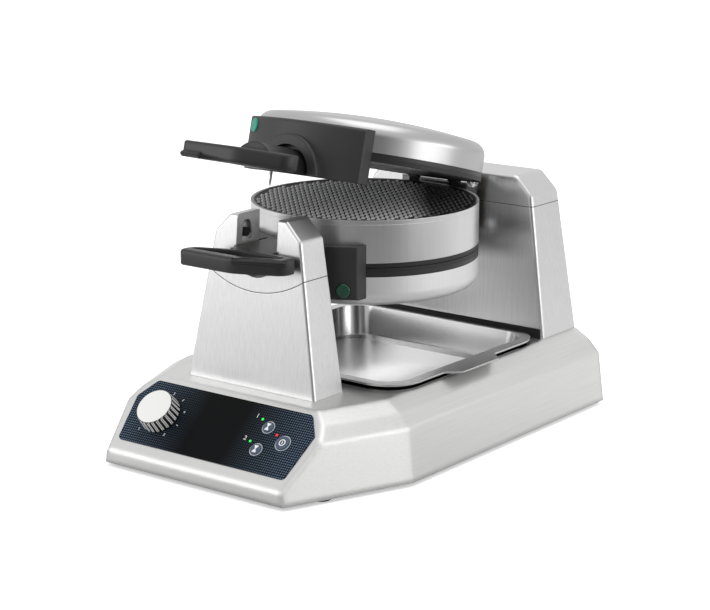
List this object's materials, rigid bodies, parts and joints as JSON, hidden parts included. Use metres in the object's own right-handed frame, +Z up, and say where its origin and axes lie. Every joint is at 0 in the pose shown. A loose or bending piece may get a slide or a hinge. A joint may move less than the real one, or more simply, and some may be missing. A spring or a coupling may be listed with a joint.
{
  "type": "double waffle cone maker",
  "caption": "Counter-top rotary waffle cone maker: hinged round grill plates on a rotor between a front cradle column and a rear tower, over a drip tray, with a sloped control panel.",
  "frame": {"origin": "on the table under the feet, at the middle of the machine's box in plan", "axes": "+Z up, +X to the right seen from the front, +Y from the control panel to the rear tower"},
  "size_m": [0.2582, 0.3874, 0.2656],
  "materials": {
    "body_steel": "lengthwise brushed stainless steel",
    "lid_steel": "satin drawn stainless steel",
    "tray_steel": "satin drawn stainless steel",
    "inner_steel": "plain steel",
    "nonstick": "cast aluminium with dark non-stick coating",
    "ring_black": "black heat-proof enamel",
    "phenolic": "charcoal moulded phenolic",
    "hinge_black": "black cast",
    "chrome": "polished",
    "lens_teal": "clear teal lens",
    "lens_green": "clear dark green lens",
    "led_green": "clear green",
    "led_red": "clear red",
    "overlay_black": "printed film",
    "knob_black": "moulded",
    "knob_white": "moulded",
    "button_slate": "moulded",
    "rubber": "black",
    "bearing": "turned",
    "liner": "low-friction strip",
    "board": "circuit board",
    "iron_core": "laminated core",
    "terminal": "moulded",
    "black_plastic": "moulded",
    "element": "sheathed heating element"
  },
  "bodies": {
    "base": {"base_shell": "body_steel", "base_floor": "inner_steel", "feet": "rubber", "foot_screws": "inner_steel", "tray_well": "inner_steel", "control_overlay": "overlay_black", "control_board": "board", "board_spacers": "black_plastic", "thermostat": "black_plastic", "start_leds": "led_green", "power_led": "led_red", "transformer": "iron_core", "terminal_block": "terminal", "cord_gland": "black_plastic", "front_column": "body_steel", "cradle_cap": "body_steel", "cradle_liner": "liner", "buffer_plates": "inner_steel", "buffers": "rubber", "rear_tower": "body_steel", "tower_cap": "body_steel", "rear_bearing": "bearing", "stop_pin": "inner_steel"},
    "rotor": {"centre_band": "lid_steel", "upper_plate": "nonstick", "lower_plate": "nonstick", "centre_heaters": "element", "plate_posts": "inner_steel", "rotor_shaft": "inner_steel", "shaft_collar": "inner_steel", "hinge_block": "hinge_black", "hinge_pins": "chrome"},
    "upper_lid": {"upper_lid_cover": "lid_steel", "upper_lid_ring": "ring_black", "upper_lid_plate": "nonstick", "upper_lid_heater": "element", "upper_lid_posts": "inner_steel", "upper_front_block": "phenolic", "upper_block_screws": "inner_steel", "upper_handle": "phenolic", "upper_hinge_arm": "hinge_black", "upper_lamp": "lens_teal", "guide_rod": "inner_steel"},
    "lower_lid": {"lower_lid_cover": "lid_steel", "lower_lid_ring": "ring_black", "lower_lid_plate": "nonstick", "lower_lid_heater": "element", "lower_lid_posts": "inner_steel", "lower_front_block": "phenolic", "lower_block_screws": "inner_steel", "lower_handle": "phenolic", "lower_hinge_arm": "hinge_black", "lower_lamp": "lens_green"},
    "knob": {"knob_skirt": "knob_black", "knob_face": "knob_white", "knob_shaft": "inner_steel"},
    "start_1": {"start_button_1": "button_slate"},
    "start_2": {"start_button_2": "button_slate"},
    "power": {"power_button": "button_slate"},
    "tray": {"drip_tray": "tray_steel"}
  },
  "joints": [
    {"name": "rotor_spin", "type": "hinge", "parent": "base", "child": "rotor", "pos_m": [0, 0.02036, 0.1695], "axis": [0, -1, 0], "range_deg": [-90, 0]},
    {"name": "upper_lid_hinge", "type": "hinge", "parent": "rotor", "child": "upper_lid", "pos_m": [0, 0.12586, 0.1898], "axis": [-1, 0, 0], "range_deg": [-14.5, 75]},
    {"name": "lower_lid_hinge", "type": "hinge", "parent": "rotor", "child": "lower_lid", "pos_m": [0, 0.12586, 0.1492], "axis": [1, 0, 0], "range_deg": [-0.12, 0]},
    {"name": "knob_turn", "type": "hinge", "parent": "base", "child": "knob", "pos_m": [-0.0549, -0.16508, 0.03939], "axis": [0, -0.67, 0.7424], "range_deg": [-280, 0]},
    {"name": "start_1_press", "type": "slide", "parent": "base", "child": "start_1", "axis": [0, 0.67, -0.7424], "range_m": [0, 0.0008], "stiffness_N_per_m": 900, "springref_m": -0.0006},
    {"name": "start_2_press", "type": "slide", "parent": "base", "child": "start_2", "axis": [0, 0.67, -0.7424], "range_m": [0, 0.0008], "stiffness_N_per_m": 900, "springref_m": -0.0006},
    {"name": "power_press", "type": "slide", "parent": "base", "child": "power", "axis": [0, 0.67, -0.7424], "range_m": [0, 0.0008], "stiffness_N_per_m": 900, "springref_m": -0.0006},
    {"name": "tray_lift", "type": "slide", "parent": "base", "child": "tray", "axis": [0, 0, 1], "range_m": [0, 0.045]}
  ]
}
